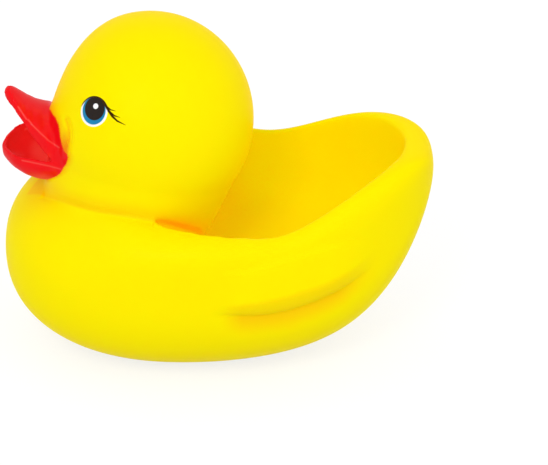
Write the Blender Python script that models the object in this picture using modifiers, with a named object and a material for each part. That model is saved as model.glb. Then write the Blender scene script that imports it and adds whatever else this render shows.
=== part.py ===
# Large bath duck with a hollow tray back, one soft vinyl moulding.
# Metres, +Z up, the bill towards -Y, the duck's left side towards +X.
import math

import bmesh
import bpy

# Hull: a round form whose stations run along Y, from the bow to the stern
HULL_MID_Y = -0.012
HULL_BOW = 0.067
HULL_STERN = 0.092
HULL_HALF_BEAM = 0.0535
HULL_WAIST_Z = 0.0375
HULL_DEPTH = 0.0400
HULL_TOP = 0.0264
CHEST_LIFT = 0.0085
CHEST_SPAN = (0.05, 0.6)
STERN_LIFT = 0.0314
STERN_SPAN = (0.3, 0.92)
TAIL_SWEEP = 0.034
TAIL_SWEEP_POWER = 6.0
BOW_FULLNESS = 2.28
STERN_FULLNESS = 2.0
SECTION_FULLNESS = 2.3
RIM_FULLNESS = 7.5
RIM_SPAN = (-0.6, 0.1)

# Head, nearly a ball
HEAD_Y = -0.0246
HEAD_Z = 0.0887
HEAD_HALF_WIDTH = 0.038
HEAD_HALF_LENGTH = 0.038
HEAD_HALF_HEIGHT = 0.0396
BROW_FLATTENING = 0.0024
BROW_FORWARD_SPAN = (0.2, 0.9)
BROW_UP_SPAN = (-0.2, 0.4)

# Neck, wider at the head than at the tray's floor
NECK_TOP_Z = 0.0775
NECK_TOP_Y = -0.0255
NECK_TOP_RADIUS = 0.0362
NECK_FOOT_Z = 0.0240
NECK_FOOT_Y = -0.0390
NECK_FOOT_RADIUS = 0.0235
NECK_SWELL = 0.0022
NECK_LEVELS = 12

# Tray hollowed into the back
TRAY_MID_Y = 0.005
TRAY_FRONT = 0.047
TRAY_REAR = 0.064
TRAY_HALF_WIDTH = 0.0430
TRAY_FLOOR_Z = 0.0275
TRAY_RIM_Z = 0.0590
TRAY_TAIL_RISE = 0.020
TRAY_FULLNESS = 2.6

# Wings in low relief, their edges as (y, rise) points, where rise is the height less
# SIDE_LEAN times the distance from the centre plane
SIDE_LEAN = 0.543
WING_TOP_EDGE = ((0.009, 0.0238), (0.030, 0.0309), (0.0485, 0.0360), (0.0555, 0.0356))
WING_LOW_EDGE = ((0.002, 0.0109), (0.017, 0.0133), (0.031, 0.0174), (0.042, 0.0219), (0.0543, 0.0309))
WING_CREASE = ((0.003, 0.0063), (0.014, 0.0059), (0.024, 0.0075), (0.035, 0.0112), (0.048, 0.0198))
WING_RELIEF = 0.0030
WING_TOP_STEP = 0.3
WING_TOP_SOFTNESS = 0.0015
WING_UNDERCUT = 0.0008
WING_UNDERCUT_REACH = 0.009
WING_FADE_IN = (-0.004, 0.022)
WING_FADE_OUT = (0.0520, 0.0600)
SIDE_SPAN = (0.4, 0.6)

# Bill: an arched upper shell and a spoon-shaped lower one
BILL_ROOT_Y = -0.052
BILL_THICKNESS = 0.0030
UPPER_TIP_Y = -0.0764
UPPER_TIP_LIP_Z = 0.0970
UPPER_ROOT_LIP_Z = 0.0735
UPPER_TIP_CROWN_Z = 0.0989
UPPER_ROOT_CROWN_Z = 0.0883
UPPER_HALF_WIDTH = 0.0195
UPPER_FULLNESS = 1.5
UPPER_LIP_POWER = 0.95
CROWN_SPAN = (0.35, 1.0)
LOWER_TIP_Y = -0.0788
LOWER_RIM_Z = 0.0800
LOWER_DEPTH = 0.0124
LOWER_HALF_WIDTH = 0.0172
LOWER_FULLNESS = 2.2
LOWER_KEEL_POWER = 2.2
ARCH_FULLNESS = 2.0

# Skin of the moulding
WALL = 0.0024
VENT_RADIUS = 0.0020
VENT_Y = -0.012
VENT_SEGMENTS = 24
SKIN_VOXEL = 0.0012
CORE_VOXEL = 0.0025
SMOOTH_ROUNDS = 16
CORE_SMOOTH_ROUNDS = 3
SKIN_SHARE_KEPT = 0.062
CORE_SHARE_KEPT = 0.085

# Fineness of the starting shapes
ROUND_SEGMENTS = 128
ROUND_RINGS = 96
BILL_CELLS = 36
OPEN_HEIGHT = 0.080
SMALL = 1e-6

VINYL_YELLOW = (1.0, 0.82, 0.0, 1.0)
VINYL_ROUGHNESS = 0.32
SHARP_ANGLE = math.radians(60.0)


def clear_scene():
    for old in list(bpy.data.objects):
        bpy.data.objects.remove(old, do_unlink=True)


def make_collection(name):
    group = bpy.data.collections.new(name)
    bpy.context.scene.collection.children.link(group)
    return group


def ramp(value, start, end):
    # A smooth step from 0 at start to 1 at end
    t = min(max((value - start) / (end - start), 0.0), 1.0)
    return t * t * (3.0 - 2.0 * t)


def round_off(part, fullness):
    # The other coordinate of a unit super-ellipse
    return max(1.0 - abs(part) ** fullness, 0.0) ** (1.0 / fullness)


def soft_corner(value, fullness):
    return math.copysign(abs(value) ** (2.0 / fullness), value)


def new_ball(segments, rings):
    ball = bmesh.new()
    bmesh.ops.create_uvsphere(ball, u_segments=segments, v_segments=rings, radius=1.0)
    return ball


def hull_top(along):
    chest = CHEST_LIFT * ramp(-along, *CHEST_SPAN)
    stern = STERN_LIFT * ramp(along, *STERN_SPAN)
    return HULL_TOP + chest + stern


def edge_height(edge, y):
    # Rise of an edge at y, level beyond its ends
    if y <= edge[0][0]:
        return edge[0][1]
    for (near, low), (far, high) in zip(edge, edge[1:]):
        if y <= far:
            return low + (high - low) * (y - near) / (far - near)
    return edge[-1][1]


def wing_relief(x, y, z):
    # How far the skin stands out for a wing, or in under its rounded lower edge
    rise = z - SIDE_LEAN * abs(x)
    top = edge_height(WING_TOP_EDGE, y)
    low = edge_height(WING_LOW_EDGE, y)
    crease = edge_height(WING_CREASE, y)
    if rise > low:
        share = min((rise - low) / (top - low), 1.0)
        step = WING_RELIEF * (1.0 - (1.0 - WING_TOP_STEP) * share)
        step *= 1.0 - ramp(rise, top - WING_TOP_SOFTNESS, top + WING_TOP_SOFTNESS)
    elif rise > crease:
        step = (WING_RELIEF + WING_UNDERCUT) * round_off((low - rise) / (low - crease), 2.0) - WING_UNDERCUT
    else:
        step = -WING_UNDERCUT * (1.0 - ramp(crease - rise, 0.0, WING_UNDERCUT_REACH))
    side = ramp(abs(x) / HULL_HALF_BEAM, *SIDE_SPAN)
    return step * side * ramp(y, *WING_FADE_IN) * (1.0 - ramp(y, *WING_FADE_OUT))


def make_hull(inset):
    hull = new_ball(ROUND_SEGMENTS, ROUND_RINGS)
    for point in hull.verts:
        across, along, up = point.co.x, point.co.z, point.co.y
        fullness, reach = (BOW_FULLNESS, HULL_BOW) if along < 0.0 else (STERN_FULLNESS, HULL_STERN)
        girth = round_off(along, fullness)
        turn = math.atan2(up, across)
        height = hull_top(along) if up > 0.0 else HULL_DEPTH
        corner = SECTION_FULLNESS
        if up > 0.0:
            corner += (RIM_FULLNESS - SECTION_FULLNESS) * ramp(along, *RIM_SPAN)
        x = soft_corner(math.cos(turn), corner) * girth * (HULL_HALF_BEAM - inset)
        y = HULL_MID_Y + along * (reach - inset)
        z = HULL_WAIST_Z + TAIL_SWEEP * max(along, 0.0) ** TAIL_SWEEP_POWER
        z += soft_corner(math.sin(turn), corner) * girth * (height - inset)
        if inset == 0.0:
            x += math.copysign(wing_relief(x, y, z), x)
        point.co = (x, y, z)
    return hull


def make_tray(growth):
    # A round-bottomed trough that stands straight up above its rim
    tray = new_ball(ROUND_SEGMENTS, ROUND_RINGS)
    for point in tray.verts:
        level = max(math.hypot(point.co.x, point.co.y), SMALL)
        down = point.co.z
        spread = round_off(down, TRAY_FULLNESS) / level if down < 0.0 else 1.0 / level
        reach = TRAY_FRONT if point.co.y < 0.0 else TRAY_REAR
        x = point.co.x * spread * (TRAY_HALF_WIDTH + growth)
        y = TRAY_MID_Y + point.co.y * spread * (reach + growth)
        rim = TRAY_RIM_Z + TRAY_TAIL_RISE * ramp(y, TRAY_MID_Y, TRAY_MID_Y + TRAY_REAR)
        deep = rim - TRAY_FLOOR_Z + growth
        z = rim + down * (deep if down < 0.0 else OPEN_HEIGHT)
        point.co = (x, y, z)
    return tray


def make_head(inset):
    head = new_ball(ROUND_SEGMENTS // 2, ROUND_RINGS // 2)
    half = (HEAD_HALF_WIDTH - inset, HEAD_HALF_LENGTH - inset, HEAD_HALF_HEIGHT - inset)
    for point in head.verts:
        forward = ramp(-point.co.y, *BROW_FORWARD_SPAN) * ramp(point.co.z, *BROW_UP_SPAN)
        point.co.y += BROW_FLATTENING / HEAD_HALF_LENGTH * forward
    bmesh.ops.scale(head, vec=half, verts=head.verts)
    bmesh.ops.translate(head, vec=(0.0, HEAD_Y, HEAD_Z), verts=head.verts)
    return head


def make_neck(inset):
    neck = bmesh.new()
    bmesh.ops.create_cone(
        neck,
        cap_ends=True,
        segments=ROUND_SEGMENTS // 2,
        radius1=NECK_FOOT_RADIUS - inset,
        radius2=NECK_TOP_RADIUS - inset,
        depth=1.0,
    )
    foot = NECK_FOOT_Z + inset
    for step in range(1, NECK_LEVELS):
        level = (0.0, 0.0, step / NECK_LEVELS - 0.5)
        everything = neck.verts[:] + neck.edges[:] + neck.faces[:]
        bmesh.ops.bisect_plane(neck, geom=everything, plane_co=level, plane_no=(0.0, 0.0, 1.0))
    for point in neck.verts:
        share = point.co.z + 0.5
        radius = math.hypot(point.co.x, point.co.y)
        swell = 1.0 + NECK_SWELL * math.sin(share * math.pi) / radius
        point.co.x *= swell
        point.co.y *= swell
        point.co.y += NECK_FOOT_Y + (NECK_TOP_Y - NECK_FOOT_Y) * share
        point.co.z = foot + (NECK_TOP_Z - foot) * share
    return neck


def make_upper_bill():
    bill = bmesh.new()
    bmesh.ops.create_grid(bill, x_segments=BILL_CELLS, y_segments=BILL_CELLS, size=1.0)
    for point in bill.verts:
        across = point.co.x
        out = 0.5 - 0.5 * point.co.y
        y = BILL_ROOT_Y + (UPPER_TIP_Y - BILL_ROOT_Y) * out
        half = UPPER_HALF_WIDTH * round_off(out, UPPER_FULLNESS)
        lip = UPPER_ROOT_LIP_Z + (UPPER_TIP_LIP_Z - UPPER_ROOT_LIP_Z) * out ** UPPER_LIP_POWER
        crown = UPPER_ROOT_CROWN_Z + (UPPER_TIP_CROWN_Z - UPPER_ROOT_CROWN_Z) * ramp(out, *CROWN_SPAN)
        z = lip + (crown - lip) * round_off(across, ARCH_FULLNESS)
        point.co = (math.sin(across * math.pi / 2.0) * half, y, z)
    bmesh.ops.remove_doubles(bill, verts=bill.verts, dist=SMALL)
    return bill


def make_lower_bill():
    bill = bmesh.new()
    bmesh.ops.create_grid(bill, x_segments=BILL_CELLS, y_segments=BILL_CELLS, size=1.0)
    for point in bill.verts:
        across = point.co.x
        out = 0.5 - 0.5 * point.co.y
        y = BILL_ROOT_Y + (LOWER_TIP_Y - BILL_ROOT_Y) * out
        half = LOWER_HALF_WIDTH * round_off(out, LOWER_FULLNESS)
        deep = LOWER_DEPTH * (1.0 - out ** LOWER_KEEL_POWER)
        z = LOWER_RIM_Z - deep * round_off(across, ARCH_FULLNESS)
        point.co = (math.sin(across * math.pi / 2.0) * half, y, z)
    bmesh.ops.remove_doubles(bill, verts=bill.verts, dist=SMALL)
    return bill


def as_object(name, shape, group):
    bmesh.ops.recalc_face_normals(shape, faces=shape.faces)
    data = bpy.data.meshes.new(name)
    shape.to_mesh(data)
    shape.free()
    thing = bpy.data.objects.new(name, data)
    group.objects.link(thing)
    return thing


def as_guide(thing):
    thing.hide_render = True
    thing.display_type = "WIRE"
    return thing


def cut_with(thing, cutter):
    cut = thing.modifiers.new(cutter.name, "BOOLEAN")
    cut.operation = "DIFFERENCE"
    cut.solver = "EXACT"
    cut.object = cutter
    return cut


def thicken(thing):
    shell = thing.modifiers.new("thickness", "SOLIDIFY")
    shell.thickness = BILL_THICKNESS
    shell.offset = 0.0


def gather(name, things, group):
    # Several shapes, each as its modifiers leave it, in one object
    view = bpy.context.evaluated_depsgraph_get()
    whole = bmesh.new()
    for thing in things:
        data = bpy.data.meshes.new_from_object(thing.evaluated_get(view))
        whole.from_mesh(data)
        bpy.data.meshes.remove(data)
    data = bpy.data.meshes.new(name)
    whole.to_mesh(data)
    whole.free()
    gathered = bpy.data.objects.new(name, data)
    group.objects.link(gathered)
    return gathered


def blend(thing, voxel, rounds, share):
    # One skin over the joined shapes, its corners rounded, then thinned out
    skin = thing.modifiers.new("one_skin", "REMESH")
    skin.mode = "VOXEL"
    skin.voxel_size = voxel
    soften = thing.modifiers.new("soften", "SMOOTH")
    soften.factor = 0.5
    soften.iterations = rounds
    thin = thing.modifiers.new("thin_out", "DECIMATE")
    thin.ratio = share
    thin.use_collapse_triangulate = True


def make_core(cutters):
    hull = as_guide(as_object("core_hull", make_hull(WALL), cutters))
    tray = as_guide(as_object("core_tray", make_tray(WALL), cutters))
    head = as_guide(as_object("core_head", make_head(WALL), cutters))
    neck = as_guide(as_object("core_neck", make_neck(WALL), cutters))
    cut_with(hull, tray)
    core = as_guide(gather("core", [hull, head, neck], cutters))
    blend(core, CORE_VOXEL, CORE_SMOOTH_ROUNDS, CORE_SHARE_KEPT)
    cut_with(core, make_floor_cutter("core_floor", WALL, cutters))
    return core


def make_floor_cutter(name, top, cutters):
    # A slab whose top face is the flat that it leaves
    block = bmesh.new()
    bmesh.ops.create_cube(block, size=1.0)
    wide = 2.0 * (HULL_BOW + HULL_STERN)
    bmesh.ops.scale(block, vec=(wide, wide, HULL_DEPTH), verts=block.verts)
    bmesh.ops.translate(block, vec=(0.0, 0.0, top - 0.5 * HULL_DEPTH), verts=block.verts)
    return as_guide(as_object(name, block, cutters))


def make_vent_cutter(cutters):
    pin = bmesh.new()
    bmesh.ops.create_cone(
        pin,
        cap_ends=True,
        segments=VENT_SEGMENTS,
        radius1=VENT_RADIUS,
        radius2=VENT_RADIUS,
        depth=8.0 * WALL,
    )
    bmesh.ops.translate(pin, vec=(0.0, VENT_Y, 0.0), verts=pin.verts)
    return as_guide(as_object("vent", pin, cutters))


def make_body(parts, cutters):
    hull = as_guide(as_object("hull", make_hull(0.0), cutters))
    tray = as_guide(as_object("tray", make_tray(0.0), cutters))
    head = as_guide(as_object("head", make_head(0.0), cutters))
    neck = as_guide(as_object("neck", make_neck(0.0), cutters))
    upper = as_guide(as_object("upper_bill", make_upper_bill(), cutters))
    lower = as_guide(as_object("lower_bill", make_lower_bill(), cutters))
    thicken(upper)
    thicken(lower)
    cut_with(hull, tray)
    body = gather("duck_body", [hull, head, neck, upper, lower], parts)
    blend(body, SKIN_VOXEL, SMOOTH_ROUNDS, SKIN_SHARE_KEPT)
    cut_with(body, make_core(cutters))
    cut_with(body, make_floor_cutter("floor", 0.0, cutters))
    cut_with(body, make_vent_cutter(cutters))
    return body


def vinyl():
    paint = bpy.data.materials.new("yellow_vinyl")
    paint.use_nodes = True
    shader = paint.node_tree.nodes["Principled BSDF"]
    shader.inputs["Base Color"].default_value = VINYL_YELLOW
    shader.inputs["Roughness"].default_value = VINYL_ROUGHNESS
    shader.inputs["Metallic"].default_value = 0.0
    return paint


def main():
    clear_scene()
    parts = make_collection("bath_duck")
    cutters = make_collection("cutters")
    body = make_body(parts, cutters)
    body.data.materials.append(vinyl())
    body.data.shade_smooth()
    body.data.set_sharp_from_angle(angle=SHARP_ANGLE)


main()
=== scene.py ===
import math

import bmesh
import bpy
from mathutils import Euler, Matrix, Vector


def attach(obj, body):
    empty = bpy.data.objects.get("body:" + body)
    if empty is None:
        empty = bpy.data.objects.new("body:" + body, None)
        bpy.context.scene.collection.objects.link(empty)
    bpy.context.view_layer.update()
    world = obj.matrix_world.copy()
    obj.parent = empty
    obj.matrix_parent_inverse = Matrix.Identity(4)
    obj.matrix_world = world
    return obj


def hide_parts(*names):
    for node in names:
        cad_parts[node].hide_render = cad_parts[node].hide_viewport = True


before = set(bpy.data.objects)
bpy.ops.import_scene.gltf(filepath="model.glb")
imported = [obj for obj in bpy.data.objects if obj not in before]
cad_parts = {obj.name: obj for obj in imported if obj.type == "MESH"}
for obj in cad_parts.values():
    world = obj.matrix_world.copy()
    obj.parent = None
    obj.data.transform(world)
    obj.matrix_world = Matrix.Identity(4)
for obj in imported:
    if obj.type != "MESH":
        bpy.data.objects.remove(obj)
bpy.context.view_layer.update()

# Sizes in metres. The bill points to -Y and the duck's left side to +X.
hull = {
    "midY": -0.012, "bow": 0.067, "stern": 0.092, "halfBeam": 0.0535,
    "waistZ": 0.0375, "depth": 0.0400, "top": 0.0264,
    "chestLift": 0.0085, "sternLift": 0.0298, "tailSweep": 0.0314, "tailPower": 5.4,
    "bowFullness": 2.28, "sternFullness": 2.0, "sectionFullness": 2.3, "rimFullness": 7.5,
    "chestSpan": (0.05, 0.6), "sternSpan": (0.3, 0.92), "rimSpan": (-0.6, 0.1), "ball": (160, 120),
}
head = {
    "y": -0.0246, "z": 0.0887, "halfWidth": 0.038, "halfLength": 0.038, "halfHeight": 0.0396,
    "brow": 0.0024, "browForward": (0.2, 0.9), "browUp": (-0.2, 0.4), "ball": (96, 64),
}
neck = {
    "topZ": 0.0775, "topY": -0.0255, "topRadius": 0.0362, "footZ": 0.0240, "footY": -0.0390,
    "footRadius": 0.0235, "swell": 0.0022, "levels": 12, "segments": 96,
}
tray = {
    "midY": 0.005, "front": 0.047, "rear": 0.064, "halfWidth": 0.0430, "ball": (160, 120),
    "floorZ": 0.0275, "rimZ": 0.0590, "tailRise": 0.020, "fullness": 2.6, "openHeight": 0.080,
}
# Stations of the bills from the root to the tip, each at a place along Y
upperBill = {
    "stations": [  # along, crown height, ridge half width and height, lip half width and height
        (-0.0520, 0.0912, 0.0172, 0.0824, 0.0182, 0.0766), (-0.0567, 0.0910, 0.0172, 0.0832, 0.0180, 0.0775),
        (-0.0588, 0.0908, 0.0169, 0.0847, 0.0176, 0.0785), (-0.0604, 0.0908, 0.0166, 0.0861, 0.0172, 0.0795),
        (-0.0620, 0.0910, 0.0162, 0.0875, 0.0168, 0.0808), (-0.0639, 0.0918, 0.0147, 0.0886, 0.0156, 0.0826),
        (-0.0657, 0.0928, 0.0129, 0.0900, 0.0138, 0.0844), (-0.0675, 0.0938, 0.0112, 0.0914, 0.0121, 0.0862),
        (-0.0690, 0.0949, 0.0103, 0.0927, 0.0111, 0.0880), (-0.0703, 0.0958, 0.0095, 0.0938, 0.0101, 0.0901),
        (-0.0719, 0.0974, 0.0080, 0.0957, 0.0086, 0.0919), (-0.0733, 0.0988, 0.0065, 0.0974, 0.0072, 0.0935),
        (-0.0751, 0.1003, 0.0048, 0.0993, 0.0055, 0.0955), (-0.0762, 0.1009, 0.0036, 0.1002, 0.0042, 0.0964),
        (-0.0769, 0.1010, 0.0028, 0.1005, 0.0034, 0.0970), (-0.0774, 0.1008, 0.0020, 0.1004, 0.0025, 0.0973),
        (-0.0779, 0.1002, 0.0010, 0.0999, 0.0013, 0.0978), (-0.0782, 0.0988, 0.0, 0.0988, 0.0, 0.0986),
    ],
    "bend": 0.72, "domeCurve": 2.0, "thickness": 0.0018, "offset": -1.0, "lipThickness": 0.65, "lipSpan": (0.80, 0.98),
}
lowerBill = {
    "stations": [  # along, rim half width, rim height, depth below the rim
        (-0.0520, 0.0182, 0.0764, 0.0008), (-0.0560, 0.0182, 0.0770, 0.0016), (-0.0574, 0.0180, 0.0775, 0.0055),
        (-0.0589, 0.0176, 0.0781, 0.0089), (-0.0613, 0.0168, 0.0789, 0.0120), (-0.0652, 0.0160, 0.0792, 0.0124),
        (-0.0677, 0.0152, 0.0793, 0.0118), (-0.0701, 0.0146, 0.0794, 0.0109), (-0.0719, 0.0138, 0.0794, 0.0097),
        (-0.0737, 0.0124, 0.0793, 0.0085), (-0.0751, 0.0103, 0.0792, 0.0076), (-0.0765, 0.0075, 0.0791, 0.0065),
        (-0.0775, 0.0052, 0.0788, 0.0053), (-0.0782, 0.0029, 0.0785, 0.0040), (-0.0786, 0.0, 0.0782, 0.0010),
    ],
    "thickness": 0.0018, "offset": 0.0, "lipThickness": 0.65, "lipSpan": (0.80, 0.98),
}
billGrid = (72, 90)
skin = {
    "voxel": 0.00055, "triangles": 190000, "softFactor": 0.5, "bodyRounds": 60, "billRounds": 4, "rootRounds": 90,
    "billAlong": (0.0575, 0.0600), "billHeight": (0.0635, 0.0660),
    "rootBlend": (0.0010, 0.0050), "domeSpan": (0.0770, 0.0800), "rootReach": 0.0055, "rootY": -0.05,
}

# The side features are laid out as seen from the side and a little above:
# (along the duck, height less lean times the distance from the centre plane)
lean = 0.543
wing = {
    "topEdge": [
        (0.0089, 0.0238), (0.0172, 0.0268), (0.0297, 0.0309), (0.0380, 0.0341), (0.0485, 0.0360), (0.0555, 0.0356),
    ],
    "lowEdge": [
        (0.0020, 0.0109), (0.0172, 0.0133), (0.0312, 0.0174), (0.0417, 0.0219), (0.0508, 0.0276), (0.0590, 0.0345),
    ],
    "crease": [
        (0.0032, 0.0063), (0.0144, 0.0059), (0.0241, 0.0075), (0.0346, 0.0112), (0.0440, 0.0160), (0.0500, 0.0205),
        (0.0590, 0.0290),
    ],
    "relief": 0.0030, "topStep": 0.22, "undercut": 0.0010, "undercutReach": 0.010, "lowRound": 1.6,
    "topFade": (-0.0010, 0.0016), "frontFade": (-0.004, 0.014), "tipFade": (0.0400, 0.0590),
    "out": 0.028, "front": -0.01, "facing": (0.1, 0.45),
}
neckCrease = {
    "path": [
        (-0.0660, 0.0568), (-0.0621, 0.0553), (-0.0445, 0.0491), (-0.0288, 0.0462), (-0.0174, 0.0433),
        (-0.0079, 0.0403),
    ],
    "depth": 0.0007, "width": 0.0016, "back": 0.0, "bottom": 0.045,
}
cheek = {
    "path": [
        (-0.0550, 0.0871), (-0.0542, 0.0846), (-0.0538, 0.0814), (-0.0540, 0.0778), (-0.0545, 0.0747),
        (-0.0551, 0.0715),
    ],
    "depth": 0.0012, "width": 0.0010, "front": -0.060, "back": -0.045, "bottom": 0.072, "out": 0.015,
}


def ramp(value, start, end):
    t = min(max((value - start) / (end - start), 0.0), 1.0)
    return t * t * (3.0 - 2.0 * t)


def roundOff(part, fullness):
    return max(1.0 - abs(part) ** fullness, 0.0) ** (1.0 / fullness)


def softCorner(value, fullness):
    return math.copysign(abs(value) ** (2.0 / fullness), value)


def pathHeight(path, along):
    # Height of a smooth edge at a place along it, level beyond its ends
    if along <= path[0][0]:
        return path[0][1]
    for index in range(len(path) - 1):
        (a, low), (b, high) = path[index], path[index + 1]
        if along <= b:
            before, after = path[max(index - 1, 0)], path[min(index + 2, len(path) - 1)]
            t = (along - a) / (b - a)
            rise = (high - before[1]) / (b - before[0]) * (b - a)
            run = (after[1] - low) / (after[0] - a) * (b - a)
            middle = (2 * t ** 3 - 3 * t * t + 1) * low + (3 * t * t - 2 * t ** 3) * high
            return middle + (t ** 3 - 2 * t * t + t) * rise + (t ** 3 - t * t) * run
    return path[-1][1]


def pathDistance(path, p, q):
    best = 1.0
    for (a, b), (c, d) in zip(path, path[1:]):
        dx, dy = c - a, d - b
        t = min(max(((p - a) * dx + (q - b) * dy) / (dx * dx + dy * dy), 0.0), 1.0)
        best = min(best, math.hypot(p - a - t * dx, q - b - t * dy))
    return best


def grooveStep(groove, y, rise):
    # How far a groove takes the skin in, or None away from it
    near = pathDistance(groove["path"], y, rise)
    if near < 4 * groove["width"]:
        return -groove["depth"] * math.exp(-((near / groove["width"]) ** 2))
    return None


def newBall(counts):
    ball = bmesh.new()
    bmesh.ops.create_uvsphere(ball, u_segments=counts[0], v_segments=counts[1], radius=1.0)
    return ball


def asObject(name, shape):
    bmesh.ops.recalc_face_normals(shape, faces=shape.faces)
    mesh = bpy.data.meshes.new(name)
    shape.to_mesh(mesh)
    shape.free()
    obj = bpy.data.objects.new(name, mesh)
    bpy.context.scene.collection.objects.link(obj)
    return obj


def bake(obj, name):
    # The object's evaluated shape as a new object. The old one goes.
    view = bpy.context.evaluated_depsgraph_get()
    view.update()
    mesh = bpy.data.meshes.new_from_object(obj.evaluated_get(view))
    mesh.name = name
    fresh = bpy.data.objects.new(name, mesh)
    bpy.context.scene.collection.objects.link(fresh)
    bpy.data.objects.remove(obj)
    return fresh


def makeHull():
    shape = newBall(hull["ball"])
    for v in shape.verts:
        across, along, up = v.co.x, v.co.z, v.co.y
        end = "bow" if along < 0 else "stern"
        fullness, reach = hull[end + "Fullness"], hull[end]
        girth = roundOff(along, fullness)
        turn = math.atan2(up, across)
        height = hull["depth"]
        corner = hull["sectionFullness"]
        if up > 0:
            height = hull["top"] + hull["chestLift"] * ramp(-along, *hull["chestSpan"])
            height += hull["sternLift"] * ramp(along, *hull["sternSpan"])
            corner += (hull["rimFullness"] - corner) * ramp(along, *hull["rimSpan"])
        x = softCorner(math.cos(turn), corner) * girth * hull["halfBeam"]
        z = hull["waistZ"] + hull["tailSweep"] * max(along, 0.0) ** hull["tailPower"]
        z += softCorner(math.sin(turn), corner) * girth * height
        v.co = (x, hull["midY"] + along * reach, z)
    return asObject("hull", shape)


def makeTray():
    shape = newBall(tray["ball"])
    for v in shape.verts:
        level = max(math.hypot(v.co.x, v.co.y), 1e-6)
        down = v.co.z
        spread = (roundOff(down, tray["fullness"]) if down < 0 else 1.0) / level
        reach = tray["front"] if v.co.y < 0 else tray["rear"]
        x = v.co.x * spread * tray["halfWidth"]
        y = tray["midY"] + v.co.y * spread * reach
        rim = tray["rimZ"] + tray["tailRise"] * ramp(y, tray["midY"], tray["midY"] + tray["rear"])
        z = rim + down * (rim - tray["floorZ"] if down < 0 else tray["openHeight"])
        v.co = (x, y, z)
    return asObject("tray", shape)


def makeHead():
    shape = newBall(head["ball"])
    for v in shape.verts:
        forward = ramp(-v.co.y, *head["browForward"]) * ramp(v.co.z, *head["browUp"])
        v.co.y += head["brow"] / head["halfLength"] * forward
    bmesh.ops.scale(shape, vec=(head["halfWidth"], head["halfLength"], head["halfHeight"]), verts=shape.verts)
    bmesh.ops.translate(shape, vec=(0.0, head["y"], head["z"]), verts=shape.verts)
    return asObject("head", shape)


def makeNeck():
    shape = bmesh.new()
    bmesh.ops.create_cone(
        shape, cap_ends=True, segments=neck["segments"], radius1=neck["footRadius"], radius2=neck["topRadius"],
        depth=1.0
    )
    for step in range(1, neck["levels"]):
        everything = shape.verts[:] + shape.edges[:] + shape.faces[:]
        bmesh.ops.bisect_plane(
            shape, geom=everything, plane_co=(0, 0, step / neck["levels"] - 0.5), plane_no=(0, 0, 1)
        )
    for v in shape.verts:
        share = v.co.z + 0.5
        swell = 1.0 + neck["swell"] * math.sin(share * math.pi) / math.hypot(v.co.x, v.co.y)
        v.co.x *= swell
        v.co.y = v.co.y * swell + neck["footY"] + (neck["topY"] - neck["footY"]) * share
        v.co.z = neck["footZ"] + (neck["topZ"] - neck["footZ"]) * share
    return asObject("neck", shape)


def throughStations(stations, share):
    # A smooth run through rows of numbers, 0 at the first row and 1 at the last
    place = share * (len(stations) - 1)
    index = min(int(place), len(stations) - 2)
    t = place - index
    rows = [stations[min(max(index + step, 0), len(stations) - 1)] for step in (-1, 0, 1, 2)]
    found = []
    for a, b, c, d in zip(*rows):
        bent = (2 * a - 5 * b + 4 * c - d) * t * t + (3 * b - a - 3 * c + d) * t ** 3
        found.append(0.5 * (2 * b + (c - a) * t + bent))
    return found


def makeBill(name, bill, section):
    # A shell that is thinner at its lips
    shape = bmesh.new()
    bmesh.ops.create_grid(shape, x_segments=billGrid[0], y_segments=billGrid[1], size=1.0)
    thick = []
    for v in shape.verts:
        across = v.co.x
        row = throughStations(bill["stations"], 0.5 - 0.5 * v.co.y)
        thick.append(1.0 - (1.0 - bill["lipThickness"]) * ramp(abs(across), *bill["lipSpan"]))
        x, z = section(bill, row, abs(across))
        v.co = (math.copysign(x, across), row[0], z)
    obj = asObject(name, shape)
    group = obj.vertex_groups.new(name="thick")
    for index, weight in enumerate(thick):
        group.add([index], weight, "REPLACE")
    weld = obj.modifiers.new("weld", "WELD")
    weld.merge_threshold = 1e-6
    shell = obj.modifiers.new("thickness", "SOLIDIFY")
    shell.thickness = bill["thickness"]
    shell.offset = bill["offset"]
    shell.vertex_group = "thick"
    return obj


def upperSection(bill, row, side):
    # A low dome out to the ridge, then a steep flange down to the lip
    along, crown, ridgeX, ridgeZ, lipX, lipZ = row
    if side < bill["bend"]:
        share = side / bill["bend"]
        return share * ridgeX, crown + (ridgeZ - crown) * share ** bill["domeCurve"]
    down = (side - bill["bend"]) / (1.0 - bill["bend"])
    return ridgeX + (lipX - ridgeX) * down, ridgeZ + (lipZ - ridgeZ) * down


def lowerSection(bill, row, side):
    along, rimX, rimZ, depth = row
    turn = side * math.pi / 2
    return math.sin(turn) * rimX, rimZ - depth * math.cos(turn)


def joinShapes(name, things):
    whole = bmesh.new()
    for thing in things:
        settled = bake(thing, thing.name)
        whole.from_mesh(settled.data)
        bpy.data.objects.remove(settled)
    return asObject(name, whole)


def headReach(place):
    # 1 on the ball of the head, more outside it
    across = place.x / head["halfWidth"]
    along = (place.y - head["y"] - head["brow"]) / head["halfLength"]
    up = (place.z - head["z"]) / head["halfHeight"]
    return math.sqrt(across * across + along * along + up * up)


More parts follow.
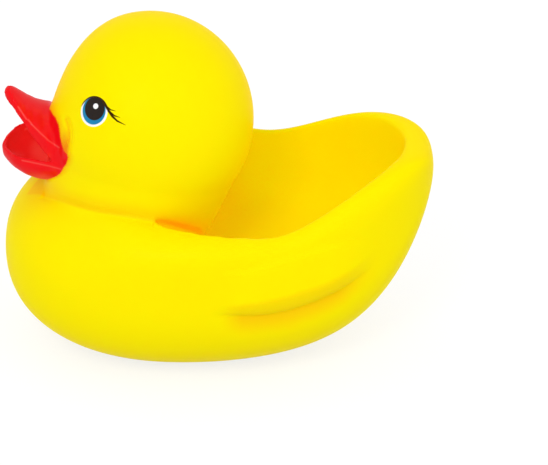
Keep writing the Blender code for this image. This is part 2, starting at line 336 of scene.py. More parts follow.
def softenGroups(obj):
    # The bills keep sharper edges than the rest, and their roots flow into the head
    body = obj.vertex_groups.new(name="bodySmooth")
    bill = obj.vertex_groups.new(name="billSmooth")
    root = obj.vertex_groups.new(name="rootSmooth")
    for v in obj.data.vertices:
        share = ramp(-v.co.y, *skin["billAlong"]) * ramp(v.co.z, *skin["billHeight"])
        offHead = abs(headReach(v.co) - 1.0) * head["halfWidth"]
        onDome = ramp(v.co.z - lean * abs(v.co.x), *skin["domeSpan"])
        share *= 1.0 - onDome * (1.0 - ramp(offHead, *skin["rootBlend"]))
        body.add([v.index], 1.0 - share, "REPLACE")
        bill.add([v.index], share, "REPLACE")
        if v.co.y < skin["rootY"] and onDome > 0 and offHead < skin["rootReach"]:
            root.add([v.index], onDome * (1.0 - ramp(offHead, 0.0, skin["rootReach"])), "REPLACE")
    for part in ("body", "bill", "root"):
        soften = obj.modifiers.new(part + "Smooth", "SMOOTH")
        soften.factor = skin["softFactor"]
        soften.iterations = skin[part + "Rounds"]
        soften.vertex_group = part + "Smooth"


def wingOffset(along, rise):
    # Proudest at the rounded lower edge, with a faint step along the top
    top = pathHeight(wing["topEdge"], along)
    low = pathHeight(wing["lowEdge"], along)
    crease = pathHeight(wing["crease"], along)
    if rise > low:
        share = min((rise - low) / (top - low), 1.0)
        step = wing["relief"] * (1.0 - (1.0 - wing["topStep"]) * share)
        step *= 1.0 - ramp(rise - top, *wing["topFade"])
    elif rise > crease:
        rounded = roundOff((low - rise) / (low - crease), wing["lowRound"])
        step = (wing["relief"] + wing["undercut"]) * rounded - wing["undercut"]
    else:
        step = -wing["undercut"] * (1.0 - ramp(crease - rise, 0.0, wing["undercutReach"]))
    return step * ramp(along, *wing["frontFade"]) * (1.0 - ramp(along, *wing["tipFade"]))


def sculpt(obj):
    # Wings, cheek creases and the fold above the deck, moved along the normals of the smooth skin
    shape = bmesh.new()
    shape.from_mesh(obj.data)
    shape.normal_update()
    moves = []
    for v in shape.verts:
        x, y, z = v.co
        rise = z - lean * abs(x)
        facing = v.normal.x * math.copysign(1.0, x)
        outward = facing > wing["facing"][0]
        step = None
        if abs(x) > wing["out"] and y > wing["front"] and outward:
            step = wingOffset(y, rise) * ramp(facing, *wing["facing"])
        elif cheek["front"] < y < cheek["back"] and z > cheek["bottom"] and abs(x) > cheek["out"]:
            step = grooveStep(cheek, y, rise)
        elif y < neckCrease["back"] and z > neckCrease["bottom"] and outward:
            step = grooveStep(neckCrease, y, rise)
        if step is not None:
            moves.append((v, step))
    for v, step in moves:
        v.co += v.normal * step
    for v in shape.verts:
        v.co.z = max(v.co.z, 0.0)
    shape.to_mesh(obj.data)
    shape.free()


def makeSkin():
    body = makeHull()
    hollow = makeTray()
    cut = body.modifiers.new("tray", "BOOLEAN")
    cut.operation = "DIFFERENCE"
    cut.solver = "EXACT"
    cut.object = hollow
    parts = [body, makeHead(), makeNeck()]
    parts.append(makeBill("upperBill", upperBill, upperSection))
    parts.append(makeBill("lowerBill", lowerBill, lowerSection))
    duck = joinShapes("duckSkin", parts)
    bpy.data.objects.remove(hollow)
    remesh = duck.modifiers.new("oneSkin", "REMESH")
    remesh.mode = "VOXEL"
    remesh.voxel_size = skin["voxel"]
    duck = bake(duck, "duckSkin")
    softenGroups(duck)
    duck = bake(duck, "duckSkin")
    sculpt(duck)
    total = sum(len(p.vertices) - 2 for p in duck.data.polygons)
    if total > skin["triangles"]:
        thin = duck.modifiers.new("thin", "DECIMATE")
        thin.ratio = skin["triangles"] / total
        duck = bake(duck, "duckSkin")
    duck.data.shade_smooth()
    return duck


duck = makeSkin()
print("skin", len(duck.data.polygons), "faces")


def node(tree, kind, **settings):
    made = tree.nodes.new(kind)
    for key, value in settings.items():
        setattr(made, key, value)
    return made


def calc(tree, operation, a, b=None, c=None, clamp=False):
    made = node(tree, "ShaderNodeMath", operation=operation, use_clamp=clamp)
    for socket, value in zip(made.inputs, (a, b, c)):
        if isinstance(value, (int, float)):
            socket.default_value = value
        elif value is not None:
            tree.links.new(value, socket)
    return made.outputs[0]


def softStep(tree, value, start, end):
    made = node(tree, "ShaderNodeMapRange", interpolation_type="SMOOTHSTEP")
    tree.links.new(value, made.inputs["Value"])
    for key, number in (("From Min", start), ("From Max", end)):
        if isinstance(number, (int, float)):
            made.inputs[key].default_value = number
        else:
            tree.links.new(number, made.inputs[key])
    return made.outputs["Result"]


def times(tree, first, *others):
    for other in others:
        first = calc(tree, "MULTIPLY", first, other)
    return first


def noise(tree, place, scale, detail=2.0):
    made = node(tree, "ShaderNodeTexNoise")
    tree.links.new(place, made.inputs["Vector"])
    made.inputs["Scale"].default_value = scale
    made.inputs["Detail"].default_value = detail
    return made.outputs["Fac"]


def mixColour(tree, factor, a, b):
    made = node(tree, "ShaderNodeMix", data_type="RGBA")
    for socket, value in ((made.inputs[0], factor), (made.inputs[6], a), (made.inputs[7], b)):
        if isinstance(value, (int, float, tuple)):
            socket.default_value = value
        else:
            tree.links.new(value, socket)
    return made.outputs[2]


def srgb(r, g, b):
    def straight(c):
        c = c / 255.0
        return c / 12.92 if c <= 0.04045 else ((c + 0.055) / 1.055) ** 2.4
    return (straight(r), straight(g), straight(b), 1.0)


def newGroup(name, vectors, floats, outputs):
    group = bpy.data.node_groups.new(name, "ShaderNodeTree")
    for label in vectors:
        group.interface.new_socket(name=label, in_out="INPUT", socket_type="NodeSocketVector")
    for label in floats:
        group.interface.new_socket(name=label, in_out="INPUT", socket_type="NodeSocketFloat")
    for label in outputs:
        kind = "NodeSocketVector" if label in ("Mirrored", "Point") else "NodeSocketFloat"
        group.interface.new_socket(name=label, in_out="OUTPUT", socket_type=kind)
    return group, node(group, "NodeGroupInput"), node(group, "NodeGroupOutput")


def useGroup(tree, group, **values):
    made = node(tree, "ShaderNodeGroup", node_tree=group)
    for key, value in values.items():
        socket = made.inputs[key]
        if isinstance(value, (int, float, tuple)):
            socket.default_value = value
        else:
            tree.links.new(value, socket)
    return made.outputs


def sideViewGroup():
    # Object position to the side layout, and to the left side of the duck
    group, start, end = newGroup("sideView", ["Position"], [], ["Along", "Rise", "Height", "Mirrored"])
    split = node(group, "ShaderNodeSeparateXYZ")
    group.links.new(start.outputs[0], split.inputs[0])
    out = calc(group, "ABSOLUTE", split.outputs["X"])
    rise = calc(group, "MULTIPLY_ADD", out, -lean, split.outputs["Z"])
    join = node(group, "ShaderNodeCombineXYZ")
    group.links.new(out, join.inputs["X"])
    group.links.new(split.outputs["Y"], join.inputs["Y"])
    group.links.new(split.outputs["Z"], join.inputs["Z"])
    found = {"Along": split.outputs["Y"], "Rise": rise, "Height": split.outputs["Z"], "Mirrored": join.outputs[0]}
    for key, socket in found.items():
        group.links.new(socket, end.inputs[key])
    return group


def curveThrough(tree, value, points):
    # The height of a smooth curve through (place, height) points
    first, last = points[0][0], points[-1][0]
    low, high = min(p[1] for p in points), max(p[1] for p in points)
    share = node(tree, "ShaderNodeMapRange")
    tree.links.new(value, share.inputs["Value"])
    share.inputs["From Min"].default_value = first
    share.inputs["From Max"].default_value = last
    curve = node(tree, "ShaderNodeFloatCurve")
    line = curve.mapping.curves[0]
    for index, (a, b) in enumerate(points):
        place = ((a - first) / (last - first), (b - low) / (high - low))
        if index == 0:
            line.points[0].location = place
        elif index == len(points) - 1:
            line.points[-1].location = place
        else:
            line.points.new(*place)
    curve.mapping.update()
    tree.links.new(share.outputs["Result"], curve.inputs["Value"])
    return calc(tree, "MULTIPLY_ADD", curve.outputs[0], high - low, low)


def aboveLine(tree, side, points):
    # How far a place is above a line given as (along, rise) points
    return calc(tree, "SUBTRACT", side["Rise"], curveThrough(tree, side["Along"], points))


def edgeGroup(name, points):
    # 1 in front of an edge given as (rise, along) points, 0 behind it
    group, start, end = newGroup(name, [], ["Along", "Rise", "Softness", "Shift"], ["Mask"])
    edge = curveThrough(group, start.outputs["Rise"], points)
    edge = calc(group, "ADD", edge, start.outputs["Shift"])
    ahead = calc(group, "SUBTRACT", edge, start.outputs["Along"])
    low = calc(group, "MULTIPLY", start.outputs["Softness"], -1.0)
    group.links.new(softStep(group, ahead, low, start.outputs["Softness"]), end.inputs["Mask"])
    return group


def printPlaneGroup(eye):
    # Mirrored position to the eye print's own plane, in millimetres
    group, start, end = newGroup("printPlane", ["Position"], [], ["Point", "Inside"])
    shift = node(group, "ShaderNodeVectorMath", operation="SUBTRACT")
    group.links.new(start.outputs[0], shift.inputs[0])
    shift.inputs[1].default_value = eye["centre"]
    found = []
    for axis in (eye["rightAxis"], eye["upAxis"], eye["outAxis"]):
        dot = node(group, "ShaderNodeVectorMath", operation="DOT_PRODUCT")
        group.links.new(shift.outputs[0], dot.inputs[0])
        dot.inputs[1].default_value = axis
        found.append(calc(group, "MULTIPLY", dot.outputs["Value"], 1000.0))
    join = node(group, "ShaderNodeCombineXYZ")
    group.links.new(found[0], join.inputs["X"])
    group.links.new(found[1], join.inputs["Y"])
    group.links.new(join.outputs[0], end.inputs["Point"])
    group.links.new(calc(group, "GREATER_THAN", found[2], -eye["reach"]), end.inputs["Inside"])
    return group


def ellipseGroup():
    group, start, end = newGroup("ellipse", ["Point", "Centre", "Radii"], ["Softness"], ["Mask", "Reach"])
    shift = node(group, "ShaderNodeVectorMath", operation="SUBTRACT")
    group.links.new(start.outputs["Point"], shift.inputs[0])
    group.links.new(start.outputs["Centre"], shift.inputs[1])
    share = node(group, "ShaderNodeVectorMath", operation="DIVIDE")
    group.links.new(shift.outputs[0], share.inputs[0])
    group.links.new(start.outputs["Radii"], share.inputs[1])
    size = node(group, "ShaderNodeVectorMath", operation="LENGTH")
    group.links.new(share.outputs[0], size.inputs[0])
    reach = size.outputs["Value"]
    low = calc(group, "SUBTRACT", 1.0, start.outputs["Softness"])
    high = calc(group, "ADD", 1.0, start.outputs["Softness"])
    inside = calc(group, "SUBTRACT", 1.0, softStep(group, reach, low, high))
    group.links.new(inside, end.inputs["Mask"])
    group.links.new(reach, end.inputs["Reach"])
    return group


def strokeGroup():
    # A straight brush stroke that tapers from one end to the other
    group, start, end = newGroup(
        "stroke", ["Point", "From", "To"], ["Start Width", "End Width", "Softness"], ["Mask"]
    )
    way = node(group, "ShaderNodeVectorMath", operation="SUBTRACT")
    group.links.new(start.outputs["To"], way.inputs[0])
    group.links.new(start.outputs["From"], way.inputs[1])
    gone = node(group, "ShaderNodeVectorMath", operation="SUBTRACT")
    group.links.new(start.outputs["Point"], gone.inputs[0])
    group.links.new(start.outputs["From"], gone.inputs[1])
    dots = []
    for first in (gone, way):
        dot = node(group, "ShaderNodeVectorMath", operation="DOT_PRODUCT")
        group.links.new(first.outputs[0], dot.inputs[0])
        group.links.new(way.outputs[0], dot.inputs[1])
        dots.append(dot.outputs["Value"])
    share = calc(group, "DIVIDE", dots[0], dots[1], clamp=True)
    foot = node(group, "ShaderNodeVectorMath", operation="SCALE")
    group.links.new(way.outputs[0], foot.inputs[0])
    group.links.new(share, foot.inputs["Scale"])
    off = node(group, "ShaderNodeVectorMath", operation="DISTANCE")
    group.links.new(gone.outputs[0], off.inputs[0])
    group.links.new(foot.outputs[0], off.inputs[1])
    narrowing = calc(group, "SUBTRACT", start.outputs["End Width"], start.outputs["Start Width"])
    width = calc(group, "MULTIPLY_ADD", narrowing, share, start.outputs["Start Width"])
    low = calc(group, "SUBTRACT", width, start.outputs["Softness"])
    high = calc(group, "ADD", width, start.outputs["Softness"])
    outside = softStep(group, off.outputs["Value"], low, high)
    group.links.new(calc(group, "SUBTRACT", 1.0, outside), end.inputs["Mask"])
    return group


def turned(right, up, degrees):
    c, s = math.cos(math.radians(degrees)), math.sin(math.radians(degrees))
    return right * c + up * s, up * c - right * s


eyeOut = Vector((0.735, -0.527, 0.427)).normalized()
eyeUp = (Vector((0, 0, 1)) - eyeOut * eyeOut.z).normalized()
eyeRight, eyeUp = turned(Vector((-eyeOut.y, eyeOut.x, 0)).normalized(), eyeUp, 15.0)
eye = {  # sizes in millimetres on the print's plane: each oval's centre, then its half width and height
    "centre": (0.0272, -0.0447, 0.1045), "rightAxis": eyeRight, "upAxis": eyeUp, "outAxis": eyeOut, "reach": 9.0,
    "white": (0.05, 0.18, 6.20, 5.42), "blue": (0.10, 0.55, 5.40, 5.05),
    "pupil": (0.50, 1.30, 4.60, 4.25), "glint": (1.10, 2.15, 1.15, 0.98),
    "softness": 0.16, "lidHeights": (2.0, 4.2), "lidThickness": 0.11, "lidInner": (0.99, 0.995),
    "lidOuter": (1.03, 1.06), "lidStart": (1.6, 2.8), "lashSoftness": 0.13,
    "lashes": [
        ((4.2, 3.9), (5.6, 2.2), 0.50, 0.50), ((5.6, 2.2), (6.8, 0.4), 0.50, 0.48),
        ((6.8, 0.4), (8.2, -1.5), 0.48, 0.42), ((8.2, -1.5), (10.0, -3.1), 0.42, 0.32),
        ((10.0, -3.1), (12.9, -4.5), 0.32, 0.08), ((6.1, 1.8), (7.4, 0.9), 0.36, 0.24),
        ((7.4, 0.9), (9.4, 0.45), 0.24, 0.06), ((7.2, 0.1), (8.9, -1.2), 0.38, 0.28),
        ((8.9, -1.2), (11.1, -1.85), 0.28, 0.06),
    ],
}
# Edges of the sprayed paint as (rise, along), from the bottom up
billEdge = [
    (0.0600, -0.0660), (0.0623, -0.0636), (0.0632, -0.0608), (0.0642, -0.0587), (0.0657, -0.0570), (0.0676, -0.0560),
    (0.0692, -0.0549), (0.0714, -0.0545), (0.0730, -0.0550),
    (0.0743, -0.0560), (0.0784, -0.0567), (0.0834, -0.0575), (0.0876, -0.0589), (0.0915, -0.0612), (0.0945, -0.0625),
    (0.0990, -0.0640),
]
cheekEdge = [
    (0.0700, -0.0556), (0.0715, -0.0551), (0.0747, -0.0545), (0.0778, -0.0540), (0.0814, -0.0538), (0.0846, -0.0542),
    (0.0871, -0.0550), (0.0910, -0.0562),
]
redSpray = {
    "drift": 0.0010, "grain": 0.0008, "softness": 0.00035, "bottom": (0.0651, 0.0657),
    "mistSoftness": 0.0022, "mistShift": 0.0012, "mistHeights": (0.0615, 0.0680), "mistAmount": 0.8,
    "wedgeFoot": (0.0695, 0.0725), "wedgeTop": (0.0870, 0.0745), "wedgeSoftness": 0.0006, "wedgeAmount": 0.85,
    "creaseWidth": (0.0002, 0.0003), "creaseSoftness": 0.0011, "creaseBack": (-0.0440, -0.0470),
    "creaseTop": (0.0865, 0.0760), "warm": (0.50, 0.85),
}
# Pale marks painted in the red as highlights. The first two lines stand for the shine on the ridge and the third
# for the shine on the ledge of the lower lip, as (along, rise), and a soft ball stands for light on the tongue.
paintedHighlights = {
    "lines": [
        [(-0.0728, 0.0928), (-0.0698, 0.0876)],
        [(-0.0691, 0.0874), (-0.0673, 0.0848), (-0.0645, 0.0817), (-0.0614, 0.0785), (-0.0577, 0.0757)],
        [(-0.0714, 0.0705), (-0.0659, 0.0692), (-0.0614, 0.0681), (-0.0572, 0.0668)],
    ],
    "width": (0.00015, 0.00015), "softness": 0.00045, "amount": 0.42, "offCentre": (0.0028, 0.0038),
    "tongue": (0.0100, -0.0640, 0.0700), "tongueSize": (0.0065, 0.0050, 0.0040), "tongueSoftness": 0.6,
    "tongueAmount": 0.30,
}
vinyl = {
    "grain": 2600.0, "drift": 160.0, "tone": 28.0, "pores": 900.0, "hollowReach": 0.045, "hollow": (0.18, 0.38),
    "underside": (0.026, 0.012), "edge": (0.30, 1.0), "edgeAmount": 0.85, "edgeHeights": (0.062, 0.085),
    "wall": (0.75, 0.45), "wallAlong": (0.0, 0.020), "wallHeights": (0.030, 0.042), "glowStrength": 0.22,
    "coat": 0.16, "coatFacing": (0.80, 0.35), "coatRoughness": 0.10, "specular": 0.015, "roughness": 0.38,
    "subsurface": 0.22, "scatter": (0.0050, 0.0022, 0.0004), "bump": 0.10, "bumpHeight": 0.0002,
}
foldShade = {  # painted shade: deeper colour above the deck and under the wings
    "deckEdge": (-0.0008, 0.0006), "deckTop": (0.0085, 0.0008), "deckBack": (-0.003, -0.012),
    "deckHeights": (0.052, 0.058), "deckAmount": 0.34,
    "wingFoot": (-0.0095, -0.0005), "wingTop": (0.0, -0.0022), "wingSlope": (-0.0005, 0.0010),
    "wingFront": (0.0, 0.010), "wingBack": (0.060, 0.042), "wingAmount": 0.50,
}
# Some of these are painted shade and light: a deeper yellow for hollows and folds, a golden yellow for slanted edges,
# a paler red for the red's hollows and a pale red for highlights
colours = {
    "yellow": srgb(254, 232, 0), "shadeYellow": srgb(250, 174, 14), "slantShadeYellow": srgb(255, 214, 0),
    "red": srgb(240, 10, 20), "warmRed": srgb(244, 40, 16), "hollowLitRed": srgb(240, 34, 34),
    "thinRed": srgb(238, 84, 20), "highlightRed": srgb(255, 128, 112),
    "white": srgb(250, 252, 246), "blue": srgb(26, 130, 176), "pupil": srgb(40, 32, 28), "lash": srgb(58, 34, 6),
    "glint": srgb(255, 255, 255), "dark": (0, 0, 0, 1), "glow": (1.0, 0.34, 0.0, 1.0),
    "redGlow": (0.36, 0.03, 0.02, 1.0), "edgeLight": (0.55, 0.45, 0.0, 1.0), "wallLight": (0.40, 0.75, 0.0, 1.0),
}


def alongPath(tree, at, path, widths, softness):
    # Strokes from point to point of a path in the side layout
    line = None
    for (a, b), (c, d) in zip(path, path[1:]):
        stroke = useGroup(
            tree, at["strokes"], Point=at["flat"], From=(a, b, 0), To=(c, d, 0),
            **{"Start Width": widths[0], "End Width": widths[1], "Softness": softness}
        )["Mask"]
        line = stroke if line is None else calc(tree, "MAXIMUM", line, stroke)
    return line


def sprayMasks(tree, at):
    # The red of the bill with its grainy edge, and the orange mist and overspray behind it
    side, grain = at["side"], at["grain"]
    where = {"Along": side["Along"], "Rise": side["Rise"]}
    wobble = calc(tree, "MULTIPLY_ADD", at["drift"], redSpray["drift"], -redSpray["drift"] / 2)
    grainy = calc(tree, "MULTIPLY_ADD", grain, redSpray["grain"], -redSpray["grain"] / 2)
    wobble = calc(tree, "ADD", wobble, grainy)
    edge = edgeGroup("billEdge", billEdge)
    red = useGroup(tree, edge, Softness=redSpray["softness"], Shift=wobble, **where)["Mask"]
    red = times(tree, red, softStep(tree, calc(tree, "ADD", side["Height"], wobble), *redSpray["bottom"]))

    mist = useGroup(tree, edge, Softness=redSpray["mistSoftness"], Shift=redSpray["mistShift"], **where)["Mask"]
    mist = times(tree, mist, softStep(tree, side["Height"], *redSpray["mistHeights"]))
    mist = times(tree, mist, calc(tree, "MULTIPLY_ADD", grain, 0.9, 0.1), redSpray["mistAmount"])

    cheekMask = edgeGroup("cheekEdge", cheekEdge)
    wedge = useGroup(tree, cheekMask, Softness=redSpray["wedgeSoftness"], Shift=wobble, **where)["Mask"]
    band = softStep(tree, side["Rise"], *redSpray["wedgeFoot"])
    band = times(tree, band, softStep(tree, side["Rise"], *redSpray["wedgeTop"]))
    wedge = times(tree, wedge, band, calc(tree, "MULTIPLY_ADD", grain, 0.7, 0.55), redSpray["wedgeAmount"])

    crease = alongPath(tree, at, cheek["path"], redSpray["creaseWidth"], redSpray["creaseSoftness"])
    crease = times(tree, crease, softStep(tree, side["Along"], *redSpray["creaseBack"]))
    low = softStep(tree, side["Rise"], *redSpray["creaseTop"])
    crease = times(tree, crease, calc(tree, "MULTIPLY_ADD", low, 0.50, 0.60))
    crease = times(tree, crease, calc(tree, "MULTIPLY_ADD", grain, 1.2, 0.2))
    mist = calc(tree, "MAXIMUM", mist, crease)
    return red, calc(tree, "MAXIMUM", mist, wedge, clamp=True)


def foldShadeMask(tree, at):
    # Painted shade in the fold above the deck and under the wings' lower edges
    side = at["side"]
    above = aboveLine(tree, side, neckCrease["path"])
    deck = softStep(tree, above, *foldShade["deckEdge"])
    deck = times(tree, deck, softStep(tree, above, *foldShade["deckTop"]))
    deck = times(tree, deck, softStep(tree, side["Along"], *foldShade["deckBack"]))
    deck = times(tree, deck, softStep(tree, side["Height"], *foldShade["deckHeights"]), foldShade["deckAmount"])
    above = aboveLine(tree, side, wing["crease"])
    tuck = softStep(tree, above, *foldShade["wingFoot"])
    tuck = times(tree, tuck, softStep(tree, aboveLine(tree, side, wing["lowEdge"]), *foldShade["wingTop"]))
    tuck = times(tree, tuck, calc(tree, "MULTIPLY_ADD", softStep(tree, above, *foldShade["wingSlope"]), -0.55, 1.0))
    tuck = times(tree, tuck, softStep(tree, side["Along"], *foldShade["wingFront"]))
    tuck = times(tree, tuck, softStep(tree, side["Along"], *foldShade["wingBack"]), foldShade["wingAmount"])
    return calc(tree, "MAXIMUM", deck, tuck)


def redTone(tree, at, openness):
    tone = mixColour(tree, softStep(tree, at["drift"], *redSpray["warm"]), colours["red"], colours["warmRed"])
    # In its hollows the red is paler: painted light
    tone = mixColour(tree, openness, colours["hollowLitRed"], tone)
    # Painted highlights: pale lines for the shine on the ridge and the lower lip's ledge, and a patch of light on the
    # tongue
    lines = None
    for path in paintedHighlights["lines"]:
        line = alongPath(tree, at, path, paintedHighlights["width"], paintedHighlights["softness"])
        lines = line if lines is None else calc(tree, "MAXIMUM", lines, line)
    offCentre = calc(tree, "SUBTRACT", at["side"]["Height"], at["side"]["Rise"])
    lines = times(tree, lines, softStep(tree, offCentre, *paintedHighlights["offCentre"]), paintedHighlights["amount"])
    tongue = useGroup(
        tree, at["oval"], Point=at["side"]["Mirrored"], Centre=paintedHighlights["tongue"], Radii=paintedHighlights["tongueSize"],
        Softness=paintedHighlights["tongueSoftness"]
    )["Mask"]
    highlightMask = calc(tree, "MAXIMUM", lines, times(tree, tongue, paintedHighlights["tongueAmount"]))
    return mixColour(tree, highlightMask, tone, colours["highlightRed"])


def printEye(tree, at, base):
    # White, blue, pupil, then the lid line with its lashes, then the glint
    plane = useGroup(tree, printPlaneGroup(eye), Position=at["side"]["Mirrored"])
    ovals = {}
    for part in ("white", "blue", "pupil", "glint"):
        x, y, wide, tall = eye[part]
        ovals[part] = useGroup(
            tree, at["oval"], Point=plane["Point"], Centre=(x, y, 0), Radii=(wide, tall, 1),
            Softness=eye["softness"] / wide
        )
    parts = node(tree, "ShaderNodeSeparateXYZ")
    tree.links.new(plane["Point"], parts.inputs[0])
    height = parts.outputs["Y"]
    thickness = times(tree, softStep(tree, height, *eye["lidHeights"]), eye["lidThickness"])
    rim = ovals["white"]["Reach"]
    inner, full = eye["lidInner"]
    lid = softStep(tree, rim, calc(tree, "SUBTRACT", inner, thickness), full)
    lid = times(tree, lid, calc(tree, "SUBTRACT", 1.0, softStep(tree, rim, *eye["lidOuter"])))
    lid = times(tree, lid, softStep(tree, height, *eye["lidStart"]))
    for start, stop, wide, narrow in eye["lashes"]:
        stroke = useGroup(
            tree, at["strokes"], Point=plane["Point"], From=(*start, 0), To=(*stop, 0),
            **{"Start Width": wide, "End Width": narrow, "Softness": eye["lashSoftness"]}
        )["Mask"]
        lid = calc(tree, "MAXIMUM", lid, stroke)
    for part, oval in ovals.items():
        base = mixColour(tree, times(tree, oval["Mask"], plane["Inside"]), base, colours[part])
        if part == "pupil":
            base = mixColour(tree, times(tree, lid, plane["Inside"]), base, colours["lash"])
    return base, times(tree, ovals["white"]["Mask"], plane["Inside"])


def makeVinyl():
    material = bpy.data.materials.new("paintedVinyl")
    material.use_nodes = True
    tree = material.node_tree
    shader = tree.nodes["Principled BSDF"]
    place = node(tree, "ShaderNodeTexCoord").outputs["Object"]
    side = useGroup(tree, sideViewGroup(), Position=place)
    flat = node(tree, "ShaderNodeCombineXYZ")
    tree.links.new(side["Along"], flat.inputs["X"])
    tree.links.new(side["Rise"], flat.inputs["Y"])
    tone = noise(tree, place, vinyl["tone"], 3.0)
    at = {
        "side": side, "flat": flat.outputs[0], "strokes": strokeGroup(), "oval": ellipseGroup(),
        "grain": noise(tree, place, vinyl["grain"]), "drift": noise(tree, place, vinyl["drift"]),
    }
    redMask, mist = sprayMasks(tree, at)

    # Painted shade: deep places are a deeper yellow, and so are the edges seen at a slant
    hollow = node(tree, "ShaderNodeAmbientOcclusion")
    hollow.samples = 8
    hollow.inputs["Distance"].default_value = vinyl["hollowReach"]
    openness = softStep(tree, hollow.outputs["AO"], *vinyl["hollow"])
    openness = calc(tree, "MAXIMUM", openness, softStep(tree, side["Height"], *vinyl["underside"]))
    openness = calc(tree, "ADD", openness, calc(tree, "MULTIPLY_ADD", tone, 0.12, -0.06), clamp=True)
    base = mixColour(tree, openness, colours["shadeYellow"], colours["yellow"])
    # Painted shade on the edges seen at a slant; the same mask later feeds a painted glow
    facing = node(tree, "ShaderNodeLayerWeight")
    facing.inputs["Blend"].default_value = 0.5
    slantShadeAndGlow = times(tree, softStep(tree, facing.outputs["Facing"], *vinyl["edge"]), vinyl["edgeAmount"])
    high = softStep(tree, side["Height"], *vinyl["edgeHeights"])
    slantShadeAndGlow = times(tree, slantShadeAndGlow, calc(tree, "MULTIPLY_ADD", high, 0.75, 0.25))
    base = mixColour(tree, slantShadeAndGlow, base, colours["slantShadeYellow"])
    # Painted shade above the deck and under the wings
    base = mixColour(tree, foldShadeMask(tree, at), base, colours["shadeYellow"])
    base = mixColour(tree, mist, base, colours["thinRed"])
    base = mixColour(tree, redMask, base, redTone(tree, at, openness))
    base, eyeMask = printEye(tree, at, base)
    tree.links.new(base, shader.inputs["Base Color"])

    # A weak light of its own stands for what the thin wall carries into hollows, edges and tray walls
    edgeLight = mixColour(tree, slantShadeAndGlow, colours["dark"], colours["edgeLight"])
    glow = mixColour(tree, openness, colours["glow"], edgeLight)
    wall = times(tree, softStep(tree, hollow.outputs["AO"], *vinyl["wall"]), openness)
    wall = times(tree, wall, softStep(tree, side["Along"], *vinyl["wallAlong"]))
    wall = times(tree, wall, softStep(tree, side["Height"], *vinyl["wallHeights"]))
    glow = mixColour(tree, wall, glow, colours["wallLight"])
    redGlow = mixColour(tree, openness, colours["redGlow"], colours["dark"])
    glow = mixColour(tree, redMask, glow, redGlow)
    tree.links.new(glow, shader.inputs["Emission Color"])
    shader.inputs["Emission Strength"].default_value = vinyl["glowStrength"]

    # The paint is smoother than the vinyl and has a thin clear gloss
    paint = calc(tree, "MAXIMUM", redMask, eyeMask)
    rough = calc(tree, "MULTIPLY_ADD", tone, 0.10, vinyl["roughness"])
    rough = calc(tree, "MULTIPLY_ADD", paint, -0.10, rough)
    tree.links.new(rough, shader.inputs["Roughness"])
    shader.inputs["Specular IOR Level"].default_value = vinyl["specular"]
    coat = times(tree, paint, softStep(tree, facing.outputs["Facing"], *vinyl["coatFacing"]), vinyl["coat"])
    tree.links.new(coat, shader.inputs["Coat Weight"])
    shader.inputs["Coat Roughness"].default_value = vinyl["coatRoughness"]
    shader.inputs["Subsurface Weight"].default_value = vinyl["subsurface"]
    shader.inputs["Subsurface Radius"].default_value = vinyl["scatter"]
    shader.inputs["Subsurface Scale"].default_value = 1.0
    bump = node(tree, "ShaderNodeBump")
    bump.inputs["Strength"].default_value = vinyl["bump"]
    bump.inputs["Distance"].default_value = vinyl["bumpHeight"]
    pores = noise(tree, place, vinyl["pores"], 3.0)
    tree.links.new(calc(tree, "MULTIPLY_ADD", tone, 4.0, pores), bump.inputs["Height"])
    tree.links.new(bump.outputs["Normal"], shader.inputs["Normal"])
    return material


duck.data.materials.clear()
duck.data.materials.append(makeVinyl())
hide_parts("duck_body")
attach(duck, "root")
print("vinyl and paint")

studio = {
    "world": 0.79, "floorSize": 6.0, "floorMottle": 3.0, "floorRoughness": 0.9, "floorSpecular": 0.1,
    "floorLight": (0.79, 0.83, 0.92, 1), "floorDark": (0.77, 0.81, 0.90, 1),
    "floorSeen": (0.26, 0.26, 0.27, 1), "floorLift": (0.78, 0.78, 0.78, 1),
    "aim": (0, 0, 0.06),
    "lamps": [("key", 8.0, 0.55, (1.3, -0.45, 1.2)), ("fill", 3.4, 1.3, (0.9, 1.1, 1.0))],  # watts, size, place
}
# The camera is square to the duck's left side, then turned a little to its own right and up
view = {"elevation": 28.5, "distance": 1.6, "lens": 281.0, "aim": (0.0, 0.0, 0.0325), "right": 0.757, "up": 0.258}


def seenRay(tree):
    # 1 for the camera's own rays and for what it sees by reflection
    path = node(tree, "ShaderNodeLightPath")
    seen = calc(tree, "MAXIMUM", path.outputs["Is Camera Ray"], path.outputs["Is Glossy Ray"])
    return calc(tree, "MAXIMUM", seen, path.outputs["Is Transmission Ray"])


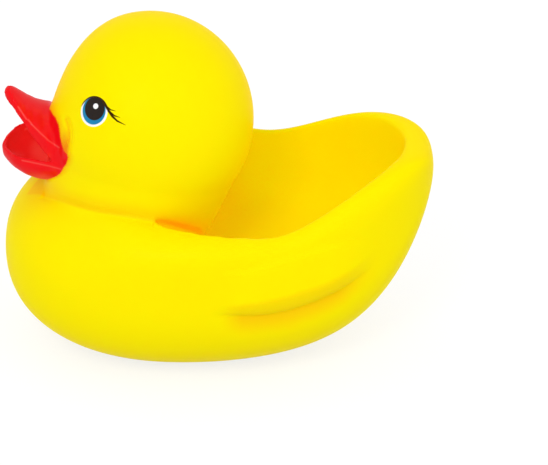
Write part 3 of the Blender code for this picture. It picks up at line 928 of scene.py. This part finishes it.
def makeFloor():
    shape = bmesh.new()
    bmesh.ops.create_grid(shape, x_segments=1, y_segments=1, size=studio["floorSize"] / 2)
    floor = asObject("floor", shape)
    material = bpy.data.materials.new("paleFloor")
    material.use_nodes = True
    tree = material.node_tree
    shader = tree.nodes["Principled BSDF"]
    place = node(tree, "ShaderNodeTexCoord").outputs["Object"]
    mottle = noise(tree, place, studio["floorMottle"])
    shade = mixColour(tree, mottle, studio["floorDark"], studio["floorLight"])
    # What is seen of the floor is lifted to white and keeps a light shadow
    seen = seenRay(tree)
    shade = mixColour(tree, seen, shade, studio["floorSeen"])
    tree.links.new(shade, shader.inputs["Base Color"])
    shader.inputs["Roughness"].default_value = studio["floorRoughness"]
    shader.inputs["Specular IOR Level"].default_value = studio["floorSpecular"]
    lift = mixColour(tree, seen, (0, 0, 0, 1), studio["floorLift"])
    tree.links.new(lift, shader.inputs["Emission Color"])
    shader.inputs["Emission Strength"].default_value = 1.0
    floor.data.materials.append(material)
    return floor


def areaLamp(name, power, size, place):
    data = bpy.data.lights.new(name, "AREA")
    data.energy = power
    data.size = size
    lamp = bpy.data.objects.new(name, data)
    lamp.location = place
    lamp.rotation_euler = (Vector(studio["aim"]) - Vector(place)).to_track_quat("-Z", "Y").to_euler()
    bpy.context.scene.collection.objects.link(lamp)


def makeWorld():
    world = bpy.data.worlds.new("studio")
    world.use_nodes = True
    tree = world.node_tree
    tree.nodes.clear()
    strength = calc(tree, "MULTIPLY_ADD", seenRay(tree), 1.0 - studio["world"], studio["world"])
    back = node(tree, "ShaderNodeBackground")
    back.inputs["Color"].default_value = (1, 1, 1, 1)
    tree.links.new(strength, back.inputs["Strength"])
    output = node(tree, "ShaderNodeOutputWorld")
    tree.links.new(back.outputs[0], output.inputs["Surface"])
    bpy.context.scene.world = world


def makeCamera():
    tilt = math.radians(view["elevation"])
    back = Vector((math.cos(tilt), 0.0, math.sin(tilt)))
    data = bpy.data.cameras.new("camera")
    data.lens = view["lens"]
    data.sensor_width = 36.0
    camera = bpy.data.objects.new("camera", data)
    camera.location = Vector(view["aim"]) + back * view["distance"]
    turn = Euler((math.radians(view["up"]), math.radians(-view["right"]), 0.0)).to_quaternion()
    camera.rotation_euler = ((-back).to_track_quat("-Z", "Y") @ turn).to_euler()
    bpy.context.scene.collection.objects.link(camera)
    bpy.context.scene.camera = camera


makeFloor()
makeWorld()
for lamp in studio["lamps"]:
    areaLamp(*lamp)
makeCamera()
bpy.context.scene.view_settings.view_transform = "Standard"
print("studio")
